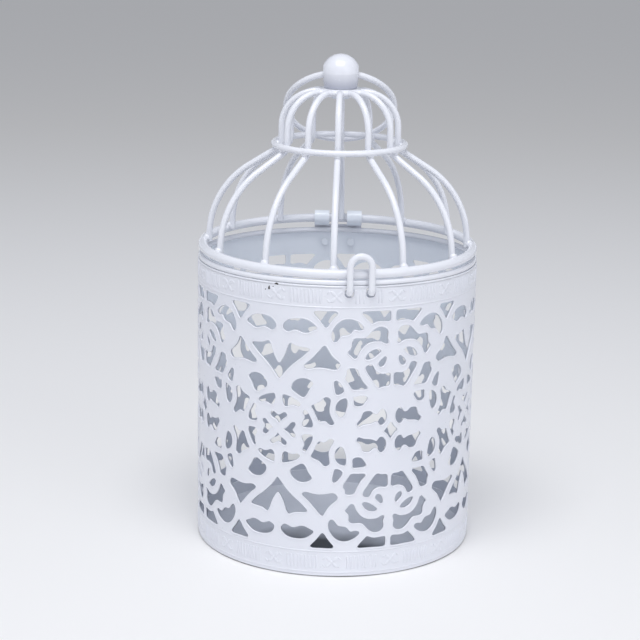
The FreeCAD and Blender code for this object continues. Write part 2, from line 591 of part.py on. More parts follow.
# Hanging ring through the finial's eye, leaning back on the dome
hanger = keep("hanging_ring", part("Part::Torus", "hanging_ring", Radius1="hanger_radius", Radius2="hanger_wire / 2"))
lean = math.radians(size("hanger_angle"))
down_back = Vector(0, math.sin(lean), -math.cos(lean))
upright = Rotation(Vector(1, 0, 0), size("hanger_angle") - 90)
hanger.Placement = Placement(onLid(Placement(Vector(0, 0, size("finial_shoulder")), Rotation())).Base
                             + down_back * size("hanger_radius"), upright)


# Latch: a hairpin of wire whose two ends hook through slots in the wall
def latchLoop():
    half, radius, bend = size("latch_half_width"), size("latch_radius"), size("latch_bend")
    low, rise, hook = size("latch_z"), size("wall_height + latch_rise"), size("latch_hook")
    # In its own frame: x along the wall, y outwards, z up
    inner = size("body_radius - sheet_thickness") - size("latch_wire / 2") - bend / 2
    diagonal = bend * (1 - math.sqrt(0.5))
    outline = []
    for side in (-1, 1):
        def at(y, z):
            return Vector(side * half, y, z)
        leg = [Part.LineSegment(at(inner, low - hook), at(inner, low - bend)),
               Part.Arc(at(inner, low - bend), at(inner + diagonal, low - diagonal), at(inner + bend, low)),
               Part.LineSegment(at(inner + bend, low), at(radius - bend, low)),
               Part.Arc(at(radius - bend, low), at(radius - diagonal, low + diagonal), at(radius, low + bend)),
               Part.LineSegment(at(radius, low + bend), at(radius, rise - half))]
        outline.append([piece.toShape() for piece in leg])
    arch = Part.Arc(Vector(-half, radius, rise - half), Vector(0, radius, rise), Vector(half, radius, rise - half))
    path = Part.Wire(outline[0] + [arch.toShape()] + outline[1][::-1])
    start = Vector(-half, inner, low - hook)
    section = Part.Wire([Part.makeCircle(size("latch_wire / 2"), start, Vector(0, 0, 1))])
    return path.makePipeShell([section], True, False)


latch = keep("latch_loop", doc.addObject("Part::Feature", "latch_loop"))
latch.Shape = latchLoop()
latch.Placement = Placement(Vector(), Rotation(Vector(0, 0, 1), 180 + size("latch_angle")))

doc.recompute()
for thing in doc.Objects:
    if "Invalid" in thing.State or "Error" in thing.State:
        raise RuntimeError(f"{thing.Name} failed: {thing.State}")
for name, thing in pieces.items():
    if thing.Shape.isNull() or not thing.Shape.isValid():
        raise RuntimeError(f"{name} has no valid shape")

os.makedirs("parts", exist_ok=True)
for name, thing in pieces.items():
    thing.Shape.exportStep(f"parts/{name}.step")
    box = thing.Shape.BoundBox
    print(f"{name}: {len(thing.Shape.Solids)} solid, {thing.Shape.Volume:.1f} mm3, z {box.ZMin:.2f} to {box.ZMax:.2f}")
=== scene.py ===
# Birdcage-shaped card box in white enamel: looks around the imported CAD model
import json
import math

import bmesh
import bpy
from mathutils import Matrix, Vector, kdtree


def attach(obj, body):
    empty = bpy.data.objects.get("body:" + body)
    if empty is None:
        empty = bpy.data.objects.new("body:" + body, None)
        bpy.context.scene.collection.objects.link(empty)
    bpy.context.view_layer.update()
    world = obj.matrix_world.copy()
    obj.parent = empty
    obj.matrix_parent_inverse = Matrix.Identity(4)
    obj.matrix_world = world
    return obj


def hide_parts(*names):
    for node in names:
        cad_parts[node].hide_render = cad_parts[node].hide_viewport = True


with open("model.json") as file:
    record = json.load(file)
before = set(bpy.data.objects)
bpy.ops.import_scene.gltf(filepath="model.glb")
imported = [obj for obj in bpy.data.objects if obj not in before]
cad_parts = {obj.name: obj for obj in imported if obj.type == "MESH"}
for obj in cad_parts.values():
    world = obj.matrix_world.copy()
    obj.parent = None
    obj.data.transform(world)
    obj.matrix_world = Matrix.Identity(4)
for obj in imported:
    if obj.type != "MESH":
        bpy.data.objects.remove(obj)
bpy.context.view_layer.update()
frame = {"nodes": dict(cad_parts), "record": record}  # nodes and record
nodes = frame["nodes"]
scene = bpy.context.scene
scene.view_settings.view_transform = "Standard"
mm = 0.001
level = 0.01 * mm  # what is nearer than this is level
samePoint = 0.0001 * mm  # what is nearer than this is one point
# The rolled sheet of the wall, in mm, with its seam in degrees from the front
sheet = {"radius": 40.0, "thickness": 0.5, "height": 82.35, "seam": -157.3}
print("frame loaded:", len(nodes), "nodes")


def linear(hexColour):
    channels = [int(hexColour[i:i + 2], 16) / 255 for i in (1, 3, 5)]
    return [c / 12.92 if c <= 0.04045 else ((c + 0.055) / 1.055) ** 2.4 for c in channels] + [1.0]


def addNode(tree, kind, values=None, links=None, **settings):
    node = tree.nodes.new(kind)
    for name, value in settings.items():
        setattr(node, name, value)
    for name, value in (values or {}).items():
        node.inputs[name].default_value = value
    for name, socket in (links or {}).items():
        tree.links.new(socket, node.inputs[name])
    return node


def newMaterial(name):
    material = bpy.data.materials.new(name)
    material.use_nodes = True
    tree = material.node_tree
    return material, tree, tree.nodes["Principled BSDF"]


# What all the enamels share: how fine their patterns are, the gloss of the steel where the coat is gone,
# and how dark the painted contact shadow along the bottom edge gets as the coat's clouds go from one value
# to another
enamelLook = {"cloudDetail": 3.0, "waveDetail": 2.0, "grainDetail": 2.0, "jagDetail": 3.0, "ior": 1.5,
              "steelRoughness": 0.6, "shadowClouds": (0.3, 0.6), "shadowShare": (0.45, 0.95)}


def heightRamp(tree, place, heights, start=0.0, end=1.0, kind="LINEAR"):
    # A factor that goes from start to end between two heights, in mm
    upright = addNode(tree, "ShaderNodeSeparateXYZ", None, {"Vector": place}).outputs["Z"]
    low, high = [z * mm for z in heights]
    ramp = addNode(tree, "ShaderNodeMapRange",
                   {"From Min": low, "From Max": high, "To Min": start, "To Max": end},
                   {"Value": upright}, interpolation_type=kind)
    return ramp.outputs["Result"]


def insideShadeTint(tree, place, look, colour):
    # Painted shade: the inside skin is bluish near the mouth and greyer the deeper down, standing in for
    # the sky-lit shade inside the box
    flat = addNode(tree, "ShaderNodeVectorMath", {1: (1.0, 1.0, 0.0)}, {0: place}, operation="MULTIPLY")
    radius = addNode(tree, "ShaderNodeVectorMath", None, {0: flat.outputs["Vector"]}, operation="LENGTH")
    inner, outer = [r * mm for r in look["inside"]]
    outside = addNode(tree, "ShaderNodeMapRange", {"From Min": inner, "From Max": outer},
                      {"Value": radius.outputs["Value"]})
    depth = heightRamp(tree, place, look["depths"])
    # coat is the painted shade: bluish at the mouth, greyer deeper down
    coat = addNode(tree, "ShaderNodeMix", {"A": linear(look["deep"]), "B": linear(look["mouth"])},
                   {"Factor": depth}, data_type="RGBA")
    tint = addNode(tree, "ShaderNodeMix", None,
                   {"Factor": outside.outputs["Result"], "A": coat.outputs["Result"], "B": colour},
                   data_type="RGBA")
    return tint.outputs["Result"]


def shadedFoot(tree, place, look, colour):
    # Painted shade: the knob turns darker towards its foot
    unshaded = heightRamp(tree, place, look["footShadeHeights"], kind="SMOOTHSTEP")
    tint = addNode(tree, "ShaderNodeMix", {"A": linear(look["footShade"])}, {"Factor": unshaded, "B": colour},
                   data_type="RGBA")
    return tint.outputs["Result"]


def darkSpot(tree, place, look, spot, colour, roughness, height):
    # One ragged dark spot with the steel's roughness, a little sunk: on the wall a chip bare down to the
    # steel
    centre, radii = spot
    scale = [1 / (r * mm) for r in radii]
    offset = [-c * mm * s for c, s in zip(centre, scale)]
    around = addNode(tree, "ShaderNodeMapping", {"Scale": scale, "Location": offset}, {"Vector": place})
    distance = addNode(tree, "ShaderNodeVectorMath", None, {0: around.outputs["Vector"]},
                       operation="LENGTH")
    jag = addNode(tree, "ShaderNodeTexNoise",
                  {"Scale": 1 / (look["spotJag"] * mm), "Detail": enamelLook["jagDetail"]},
                  {"Vector": place})
    ragged = addNode(tree, "ShaderNodeMath", None, {0: distance.outputs["Value"], 1: jag.outputs["Fac"]},
                     operation="ADD")
    core, rim = look["spotEdge"]
    darkShare = addNode(tree, "ShaderNodeMapRange",
                   {"From Min": core, "From Max": rim, "To Min": 1.0, "To Max": 0.0},
                   {"Value": ragged.outputs["Value"]}).outputs["Result"]
    colour = addNode(tree, "ShaderNodeMix", {"B": linear(look["steelAndShadow"])}, {"Factor": darkShare, "A": colour},
                     data_type="RGBA")
    roughness = addNode(tree, "ShaderNodeMix", {"B": enamelLook["steelRoughness"]},
                        {"Factor": darkShare, "A": roughness})
    height = addNode(tree, "ShaderNodeMath", None, {0: height, 1: darkShare}, operation="SUBTRACT")
    return colour.outputs["Result"], roughness.outputs["Result"], height.outputs["Value"]


def contactShadowEdge(tree, place, look, cloud, colour):
    # Painted contact shadow: the edge that it stands on is darkened, in some places more than in others
    edge = heightRamp(tree, place, look["standingEdge"], 1.0, 0.0)
    low, high = enamelLook["shadowClouds"]
    least, most = enamelLook["shadowShare"]
    share = addNode(tree, "ShaderNodeMapRange",
                    {"From Min": low, "From Max": high, "To Min": least, "To Max": most},
                    {"Value": cloud})
    shadowed = addNode(tree, "ShaderNodeMath", None, {0: edge, 1: share.outputs["Result"]},
                   operation="MULTIPLY")
    tint = addNode(tree, "ShaderNodeMix", {"B": linear(look["steelAndShadow"])},
                   {"Factor": shadowed.outputs["Value"], "A": colour}, data_type="RGBA")
    return tint.outputs["Result"]


def enamel(look):
    # Stoved gloss enamel on steel: a cool white skin with faint waves, slightly uneven in gloss,
    # thinner and greyer in places, with dark spots such as chips down to the dark steel, and where a look
    # asks for it, painted shade inside the box and at a knob's foot, and a painted contact shadow along
    # the bottom edge
    material, tree, shader = newMaterial(look["name"])
    place = addNode(tree, "ShaderNodeTexCoord").outputs["Object"]
    cloud, wave, grain = [
        addNode(tree, "ShaderNodeTexNoise",
                {"Scale": 1 / (look[name] * mm), "Detail": enamelLook[f"{name}Detail"]},
                {"Vector": place}).outputs["Fac"] for name in ("cloud", "wave", "grain")]
    colour = addNode(tree, "ShaderNodeMix", {"A": linear(look["thin"]), "B": linear(look["full"])},
                     {"Factor": cloud}, data_type="RGBA").outputs["Result"]
    # Painted shade inside the box
    if "inside" in look:
        colour = insideShadeTint(tree, place, look, colour)
    # Painted shade at the knob's foot
    if "footShade" in look:
        colour = shadedFoot(tree, place, look, colour)
    glossy, dull = look["roughness"]
    roughness = addNode(tree, "ShaderNodeMapRange", {"To Min": glossy, "To Max": dull},
                        {"Value": grain}).outputs["Result"]
    height = wave
    for spot in look.get("darkSpots", ()):
        colour, roughness, height = darkSpot(tree, place, look, spot, colour, roughness, height)
    # Painted contact shadow along the bottom edge
    if "standingEdge" in look:
        colour = contactShadowEdge(tree, place, look, cloud, colour)
    bump = addNode(tree, "ShaderNodeBump",
                   {"Strength": look["bump"], "Distance": look["bumpHeight"] * mm}, {"Height": height})
    tree.links.new(colour, shader.inputs["Base Color"])
    tree.links.new(roughness, shader.inputs["Roughness"])
    tree.links.new(bump.outputs["Normal"], shader.inputs["Normal"])
    shader.inputs["IOR"].default_value = enamelLook["ior"]
    shader.inputs["Coat Weight"].default_value = look["coat"]
    shader.inputs["Coat Roughness"].default_value = look["coatRoughness"]
    return material


def onWall(angle, height):
    # A point on the wall, in mm: the angle counts from the front, positive towards +X
    turn = math.radians(angle)
    return sheet["radius"] * math.sin(turn), -sheet["radius"] * math.cos(turn), height


# Painted shade inside the box: nearly white and bluish at the mouth, greyer from one height down to
# another
paintedInsideShade = {"mouth": "#EEF3FA", "deep": "#BEC3CE", "depths": (18.0, 56.0)}
# Sprayed on flat punched sheet: the smoothest skin, greyer inside the box as painted shade, with small
# chips under the rim and a painted contact shadow along the edge that it stands on
enamelOnSheet = enamel({
    "name": "white_enamel_on_sheet", "full": "#EBECF3", "thin": "#E3E5EC",
    "cloud": 22.0, "wave": 2.6, "grain": 0.9, "roughness": (0.24, 0.36), "bump": 0.22, "bumpHeight": 0.05,
    "coat": 0.25, "coatRoughness": 0.12, "inside": (39.55, 39.85), **paintedInsideShade, "steelAndShadow": "#3B3733",
    "spotJag": 0.5, "spotEdge": (1.25, 1.4), "standingEdge": (0.22, 0.42),
    "darkSpots": [(onWall(-23.8, 82.1), (0.7, 0.7, 0.32)), (onWall(-27.0, 80.8), (0.36, 0.36, 0.58)),
              (onWall(-28.6, 80.2), (0.18, 0.18, 0.25)), (onWall(-25.3, 81.2), (0.16, 0.16, 0.2))]})
# Floor plate: greyer than the wall and uneven, with a large soft dark patch in front, near the wall
enamelOnFloor = enamel({
    "name": "grey_enamel_on_floor", "full": "#D9DCE4", "thin": "#BFC3CC",
    "cloud": 14.0, "wave": 2.6, "grain": 0.9, "roughness": (0.4, 0.6), "bump": 0.2, "bumpHeight": 0.05,
    "coat": 0.0, "coatRoughness": 0.2, "steelAndShadow": "#484C51", "spotJag": 24.0, "spotEdge": (1.1, 1.55),
    "darkSpots": [((-3.0, -27.0, 0.8), (27.0, 24.0, 12.0))]})
# Dipped wire: a little more run and drip than on sheet
enamelOnWire = enamel({
    "name": "white_enamel_on_wire", "full": "#EDEEF4", "thin": "#E5E7ED",
    "cloud": 12.0, "wave": 1.8, "grain": 0.8, "roughness": (0.18, 0.3), "bump": 0.25, "bumpHeight": 0.06,
    "coat": 0.35, "coatRoughness": 0.1})
# Thick gloss coat on the turned knob: broad clear highlights, dull and darker towards its foot as painted
# shade
enamelOnKnob = enamel({
    "name": "white_enamel_on_knob", "full": "#E8E9F0", "thin": "#E1E3EA",
    "cloud": 9.0, "wave": 3.2, "grain": 1.2, "roughness": (0.22, 0.3), "bump": 0.15, "bumpHeight": 0.05,
    "coat": 0.25, "coatRoughness": 0.14, "footShade": "#B0B3C0", "footShadeHeights": (130.6, 135.4)})
# Rivet heads, painted over after setting: duller, with more grey, and greyer inside the box as painted
# shade
enamelOnRivets = enamel({
    "name": "white_enamel_on_rivets", "full": "#EAECF3", "thin": "#DCDFE8",
    "cloud": 2.0, "wave": 0.9, "grain": 0.5, "roughness": (0.28, 0.42), "bump": 0.3, "bumpHeight": 0.04,
    "coat": 0.15, "coatRoughness": 0.2, "inside": (39.0, 39.6), **paintedInsideShade})
print("enamels mixed")


def newPiece(name, bm, body, material, sharp=38):
    # Edges that turn by more than sharp, in degrees, stay sharp
    mesh = bpy.data.meshes.new(name)
    bm.to_mesh(mesh)
    bm.free()
    if "custom_normal" in mesh.attributes:  # what a CAD mesh brought along
        mesh.attributes.remove(mesh.attributes["custom_normal"])
    mesh.materials.append(material)
    mesh.shade_smooth()
    mesh.set_sharp_from_angle(angle=math.radians(sharp))
    piece = bpy.data.objects.new(name, mesh)
    scene.collection.objects.link(piece)
    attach(piece, body)
    print("made", name, "with", len(mesh.polygons), "faces")
    return piece


def addShape(target, shape, matrix):
    # Puts a copy of a small shape into a larger bmesh
    copy = shape.copy()
    bmesh.ops.transform(copy, matrix=matrix, verts=copy.verts)
    mesh = bpy.data.meshes.new("part")
    copy.to_mesh(mesh)
    copy.free()
    target.from_mesh(mesh)
    bpy.data.meshes.remove(mesh)


# Lace wall: the punched sheet, whose openings have the soft raised rims that punching and enamel leave.
# It is made flat from the outlines of the CAD openings, and then rolled. A rim's rings are (distance from
# the edge, height above the sheet), from the sheet's outside over the edge; the hem is the same at top
# and bottom. On a narrow bar of lace a rim takes rimShare of the way to the bar's middle. Outline points
# nearer than spacing are merged, and strip is about the width of the rolled sheet's flat strips
wallLook = {"merge": 0.001, "spacing": 0.28, "strip": 2.4, "rimWidth": 0.5, "rimShare": 0.8,
            "smoothPasses": 3,
            "rim": [(0.5, 0.0), (0.37, 0.1), (0.2, 0.16), (0.05, 0.09), (0.0, -0.08)],
            "hem": [(0.5, 0.0), (0.34, -0.04), (0.16, -0.13), (0.04, -0.28), (0.0, -0.42)], "sharp": 180}


def only(kind, geometry):
    return [part for part in geometry if isinstance(part, kind)]


def span(face):
    across = [v.co.x for v in face.verts]
    return min(across), max(across)


def laceOutlines(bm, home, into):
    # Leaves the outlines of the openings, laid out flat, and at each point the way into the sheet
    outside, middle = sheet["radius"] * mm, (sheet["radius"] - sheet["thickness"] / 2) * mm
    high, seam = sheet["height"] * mm, math.radians(sheet["seam"])
    skin = {f for f in bm.faces if all(v.co.xy.length > middle for v in f.verts)}
    for vert in {v for f in skin for v in f.verts}:
        sides = [f.normal * f.calc_area() for f in vert.link_faces if f not in skin]
        turn = math.atan2(vert.co.x, -vert.co.y)
        way = -sum(sides, Vector())
        vert[into] = Vector((way.x * math.cos(turn) + way.y * math.sin(turn), 0, way.z)).normalized()
        vert[home] = ((turn - seam) % math.tau * outside, 0, vert.co.z)
    bmesh.ops.delete(bm, geom=[f for f in bm.faces if f not in skin], context="FACES")
    bmesh.ops.delete(bm, geom=bm.faces[:], context="FACES_KEEP_BOUNDARY")
    ends = [v for v in bm.verts if v[home].z < level or v[home].z > high - level]
    bmesh.ops.delete(bm, geom=ends, context="VERTS")
    for vert in bm.verts:
        vert.co = vert[home]
    bmesh.ops.remove_doubles(bm, verts=bm.verts, dist=wallLook["spacing"] * mm)
    bm.verts.index_update()
    print("lace outlines with", len(bm.verts), "points")


def rimRoom(bm, into, room):
    # How much of the full rim each point has room for: a rim ends before it meets the next one
    tree = kdtree.KDTree(len(bm.verts))
    for vert in bm.verts:
        tree.insert(vert.co, vert.index)
    tree.balance()
    width, share = wallLook["rimWidth"] * mm, wallLook["rimShare"]
    for vert in bm.verts:
        limit = width
        for place, _, _ in tree.find_range(vert.co, 2 * width / share):
            way = place - vert.co
            ahead = way.dot(vert[into])
            if ahead > 0:
                limit = min(limit, share * way.length_squared / (2 * ahead))
        vert[room] = limit / width
    for _ in range(wallLook["smoothPasses"]):
        for vert in bm.verts:
            near = [e.other_vert(vert)[room] for e in vert.link_edges] + [vert[room]]
            vert[room] = min(vert[room], sum(near) / len(near))


def addHem(bm, home, into, onHem):
    # The sheet's own edges at the bottom and the top
    around, high = math.tau * (sheet["radius"] * mm), sheet["height"] * mm
    corners = []
    for x, z in ((0, 0), (around, 0), (around, high), (0, high)):
        corner = bm.verts.new((x, 0, z))
        corner[home], corner[into], corner[onHem] = corner.co, Vector((0, 0, 1 if z == 0 else -1)), 1
        corners.append(corner)
    for pair in (corners[:2], corners[2:]):
        bm.edges.new(pair)


def rimRings(bm, home, into, room, onHem):
    # One ring of the rims after another, and last the inner edge of the sheet. The first ring and the
    # last bound the sheet's two skins, which are filled
    lines, inner = bm.edges[:], (0.0, -sheet["thickness"])
    rings = list(zip(wallLook["rim"] + [inner], wallLook["hem"] + [inner]))
    for number, (rim, hem) in enumerate(rings):
        if number:
            made = bmesh.ops.extrude_edge_only(bm, edges=lines)["geom"]
            ring = set(only(bmesh.types.BMVert, made))
            lines = [e for e in only(bmesh.types.BMEdge, made) if ring.issuperset(e.verts)]
        else:
            ring = {v for e in lines for v in e.verts}
        for vert in ring:
            if vert[onHem]:
                distance, height = hem
            else:
                distance = rim[0] * vert[room]
                height = rim[1] * vert[room] if rim[1] > 0 else rim[1]
            inset = Vector(vert[home]) + Vector(vert[into]) * (distance * mm)
            vert.co = inset - Vector((0, height * mm, 0))
        if number in (0, len(rings) - 1):
            ends = sorted((v for v in ring if v[onHem]), key=lambda v: (v.co.x, v.co.z))
            border = [bm.edges.new(ends[:2]), bm.edges.new(ends[2:])]
            bmesh.ops.triangle_fill(bm, edges=lines + border, use_beauty=True, use_dissolve=False,
                                    normal=(0, -1, 0))


def cutStrips(bm, faces, first, last, width):
    # Halves the flat sheet again and again, down to single strips, so that it can be rolled
    if last - first < 2:
        return
    middle = (first + last) // 2
    x = middle * width
    left, right, across = [], [], []
    for face in faces:
        low, high = span(face)
        if high <= x:
            left.append(face)
        elif low >= x:
            right.append(face)
        else:
            across.append(face)
    parts = set(across) | {e for f in across for e in f.edges} | {v for f in across for v in f.verts}
    made = bmesh.ops.bisect_plane(bm, geom=list(parts), plane_co=(x, 0, 0), plane_no=(1, 0, 0),
                                  dist=samePoint)
    for face in only(bmesh.types.BMFace, made["geom"]):
        side = left if face.calc_center_median().x < x else right
        side.append(face)
    cutStrips(bm, left, first, middle, width)
    cutStrips(bm, right, middle, last, width)


def rollUp(bm):
    outside, seam = sheet["radius"] * mm, math.radians(sheet["seam"])
    strips = int(math.tau * sheet["radius"] / wallLook["strip"])
    width = math.tau * outside / strips
    cutStrips(bm, [f for f in bm.faces if span(f)[1] - span(f)[0] > width], 0, strips, width)
    for vert in bm.verts:
        turn, reach = vert.co.x / outside + seam, outside - vert.co.y
        vert.co = (reach * math.sin(turn), -reach * math.cos(turn), vert.co.z)
    bmesh.ops.remove_doubles(bm, verts=bm.verts, dist=samePoint)
    bmesh.ops.recalc_face_normals(bm, faces=bm.faces)


def shadeRound(mesh):
    # The sheet's two skins are shaded as the round barrel that they are
    outside = sheet["radius"] * mm
    inside = outside - sheet["thickness"] * mm
    normals = []
    for vert, normal in zip(mesh.vertices, [n.vector.copy() for n in mesh.vertex_normals]):
        around, reach = Vector((vert.co.x, vert.co.y, 0)).normalized(), vert.co.xy.length
        if abs(reach - outside) < level:
            normal = around
        elif abs(reach - inside) < level:
            normal = -around
        normals.append(normal)
    mesh.normals_split_custom_set_from_vertices(normals)


def paintedWall():
    bm = bmesh.new()
    bm.from_mesh(nodes["lace_wall"].data)
    bmesh.ops.remove_doubles(bm, verts=bm.verts, dist=wallLook["merge"] * mm)
    bm.normal_update()
    layers = bm.verts.layers
    home, into = layers.float_vector.new("home"), layers.float_vector.new("into")
    room, onHem = layers.float.new("room"), layers.int.new("onHem")
    laceOutlines(bm, home, into)
    rimRoom(bm, into, room)
    addHem(bm, home, into, onHem)
    rimRings(bm, home, into, room, onHem)
    rollUp(bm)
    openEdges = sum(1 for e in bm.edges if not e.is_manifold)
    wall = newPiece("lace_wall_painted", bm, "body", enamelOnSheet, wallLook["sharp"])
    shadeRound(wall.data)
    triangles = sum(len(p.vertices) - 2 for p in wall.data.polygons)
    print("wall triangles:", triangles, "open edges:", openEdges)
    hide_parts("lace_wall")


paintedWall()

# Pressed relief in the plain bands: fluted panels and small flowers between two ridges. A bar's rounding
# is a share of its width, and a ridge's shoulders are shares of its height and of half its width. The
# latch and the hinge strap are in degrees from the front
bandLook = {
    "repeats": 15, "bars": 9, "barPitch": 1.02, "barWidth": 0.52, "barHeight": 3.7, "barDepth": 0.17,
    "barRounding": 0.38, "barSegments": 3,
    "petal": (0.5, 0.17, 1.05), "petalOut": 1.15, "petalTurns": (45, 135, 225, 315),
    "boss": (0.5, 0.2, 0.5), "leaf": (0.3, 0.14, 0.62), "leafOut": (2.15, 1.15), "lensSegments": (10, 6),
    "ridgeWidth": 0.6, "ridgeProud": 0.12, "ridgeSunk": 0.1, "ridgeShoulder": (0.75, 0.55),
    "ridgeSteps": 160,
    "top": {"middle": 79.45, "ridges": (76.5, 82.15)}, "bottom": {"middle": 4.35, "ridges": (1.35, 7.4)},
    "latch": 9.0, "latchLegs": (-2.95, 2.95), "legRoom": 1.5, "seamRoom": 3.4, "strap": 180.0,
    "strapRoom": 8.0, "sharp": 50}


def wallMatrix(angle, height, along=0.0, tilt=0.0):
    # Places a shape on the wall's outside: its -Y points out of the wall, along is in mm around the wall
    turn = math.radians(angle) + along / sheet["radius"]
    return (Matrix.Rotation(turn, 4, "Z") @ Matrix.Translation((0, -sheet["radius"] * mm, height * mm))
            @ Matrix.Rotation(math.radians(tilt), 4, "Y"))


def turnAlong(along):
    # The degrees around the wall that a length along it takes
    return math.degrees(along / sheet["radius"])


def roundBar():
    bm = bmesh.new()
    bmesh.ops.create_cube(bm, size=mm)
    size = (bandLook["barWidth"], bandLook["barDepth"] * 2, bandLook["barHeight"])
    bmesh.ops.scale(bm, vec=size, verts=bm.verts)
    outer = [e for e in bm.edges if all(v.co.y < 0 for v in e.verts)]
    bmesh.ops.bevel(bm, geom=outer, offset=bandLook["barWidth"] * bandLook["barRounding"] * mm,
                    offset_type="OFFSET", segments=bandLook["barSegments"], profile=0.5, affect="EDGES",
                    clamp_overlap=True, material=-1)
    return bm


def lens(radii):
    bm = bmesh.new()
    around, upward = bandLook["lensSegments"]
    bmesh.ops.create_uvsphere(bm, u_segments=around, v_segments=upward, radius=mm)
    bmesh.ops.scale(bm, vec=radii, verts=bm.verts)
    return bm


def arcBetween(a, b):
    return abs((a - b + 180) % 360 - 180) * math.pi / 180 * sheet["radius"]


def freeOfFittings(angle, band):
    # Keeps the relief away from the wall's seam, the hinge strap and the latch legs
    if arcBetween(angle, sheet["seam"]) < bandLook["seamRoom"]:
        return False
    if band == "bottom":
        return True
    if arcBetween(angle, bandLook["strap"]) < bandLook["strapRoom"]:
        return False
    legs = [bandLook["latch"] + turnAlong(leg) for leg in bandLook["latchLegs"]]
    return min(arcBetween(angle, leg) for leg in legs) > bandLook["legRoom"]


def addFlutes(bm, bar, panel, band):
    for index in range(bandLook["bars"]):
        angle = panel + turnAlong((index - (bandLook["bars"] - 1) / 2) * bandLook["barPitch"])
        if freeOfFittings(angle, band):
            addShape(bm, bar, wallMatrix(angle, bandLook[band]["middle"]))


def addFlower(bm, boss, petal, leaf, flower, band):
    if not freeOfFittings(flower, band):
        return
    middle, out = bandLook[band]["middle"], bandLook["petalOut"]
    addShape(bm, boss, wallMatrix(flower, middle))
    for turn in bandLook["petalTurns"]:
        side, up = math.sin(math.radians(turn)), math.cos(math.radians(turn))
        addShape(bm, petal, wallMatrix(flower, middle + up * out, side * out, turn))
        leafSide, leafUp = [math.copysign(far, way) for far, way in zip(bandLook["leafOut"], (side, up))]
        if freeOfFittings(flower + turnAlong(leafSide), band):
            addShape(bm, leaf, wallMatrix(flower, middle + leafUp, leafSide, -turn))


def addRidge(bm, height):
    ridge = bmesh.new()
    half, wall = bandLook["ridgeWidth"] / 2, sheet["radius"]
    base, proud = wall - bandLook["ridgeSunk"], bandLook["ridgeProud"]
    shoulderUp, shoulderOut = proud * bandLook["ridgeShoulder"][0], half * bandLook["ridgeShoulder"][1]
    profile = [(base, -half), (wall + shoulderUp, -shoulderOut), (wall + proud, 0.0),
               (wall + shoulderUp, shoulderOut), (base, half)]
    points = [ridge.verts.new((r * mm, 0, (height + z) * mm)) for r, z in profile]
    lines = [ridge.edges.new(pair) for pair in zip(points, points[1:])]
    bmesh.ops.spin(ridge, geom=points + lines, axis=(0, 0, 1), cent=(0, 0, 0), angle=math.tau,
                   steps=bandLook["ridgeSteps"], use_merge=True)
    bmesh.ops.recalc_face_normals(ridge, faces=ridge.faces)
    addShape(bm, ridge, Matrix())
    ridge.free()


def bandRelief(band):
    bm = bmesh.new()
    bar = roundBar()
    petal, boss, leaf = [lens(bandLook[name]) for name in ("petal", "boss", "leaf")]
    pitch = 360 / bandLook["repeats"]
    for number in range(bandLook["repeats"]):
        addFlutes(bm, bar, (number + 0.5) * pitch, band)
        addFlower(bm, boss, petal, leaf, number * pitch, band)
    for shape in (bar, petal, boss, leaf):
        shape.free()
    for height in bandLook[band]["ridges"]:
        addRidge(bm, height)
    newPiece(f"{band}_band_relief", bm, "body", enamelOnSheet, bandLook["sharp"])


bandRelief("top")
bandRelief("bottom")

# Seam weld: the flat bead that closes the rolled sheet, ground down but still to be seen under the paint.
# Its rounding is a share of its width, and its waver is in mm, with waverPace radians to a millimetre
seamLook = {"width": 0.9, "proud": 0.14, "from": 1.0, "to": 81.8, "cuts": 40, "rounding": 0.3,
            "segments": 3, "waver": 0.06, "waverPace": 0.9, "sharp": 60}


def seamWeld():
    bm = bmesh.new()
    bmesh.ops.create_cube(bm, size=mm)
    size = (seamLook["width"], seamLook["proud"] * 2, seamLook["to"] - seamLook["from"])
    bmesh.ops.scale(bm, vec=size, verts=bm.verts)
    uprights = [e for e in bm.edges if abs(e.verts[0].co.z - e.verts[1].co.z) > mm]
    bmesh.ops.subdivide_edges(bm, edges=uprights, cuts=seamLook["cuts"], use_grid_fill=True)
    outer = [e for e in bm.edges if all(v.co.y < 0 for v in e.verts)
             and abs(e.verts[0].co.x - e.verts[1].co.x) < level]
    bmesh.ops.bevel(bm, geom=outer, offset=seamLook["width"] * seamLook["rounding"] * mm,
                    offset_type="OFFSET", segments=seamLook["segments"], profile=0.5, affect="EDGES",
                    clamp_overlap=True, material=-1)
    for vert in bm.verts:
        vert.co.x += seamLook["waver"] * mm * math.sin(vert.co.z / mm * seamLook["waverPace"])
    onSeam = wallMatrix(sheet["seam"], (seamLook["from"] + seamLook["to"]) / 2)
    bmesh.ops.transform(bm, matrix=onSeam, verts=bm.verts)
    bmesh.ops.recalc_face_normals(bm, faces=bm.faces)
    newPiece("seam_weld", bm, "body", enamelOnSheet, seamLook["sharp"])


seamWeld()

# Lid frame: the lid's own axis, tipped about the hinge because its back stands higher
lidLook = {"hinge": (0.0, 38.3, 87.0), "tilt": 1.1906, "ribs": 12, "ribTurn": -1.5}
hinge = Vector(lidLook["hinge"]) * mm
onLid = (Matrix.Translation(hinge) @ Matrix.Rotation(math.radians(lidLook["tilt"]), 4, "X")
         @ Matrix.Translation((0, -hinge.y, 0)))

# Spot welds under the paint: soft lumps where the ribs meet the lid ring, the upper ring and the crown
weldLook = {"segments": (16, 10), "spots": [
    {"radius": 37.6, "height": 0.85, "size": (1.3, 1.15, 1.35), "lean": 0.0},
    {"radius": 17.85, "height": 28.55, "size": (1.15, 1.35, 0.95), "lean": 32.0},
    {"radius": 5.9, "height": 43.75, "size": (1.2, 1.9, 0.98), "lean": 0.0}]}


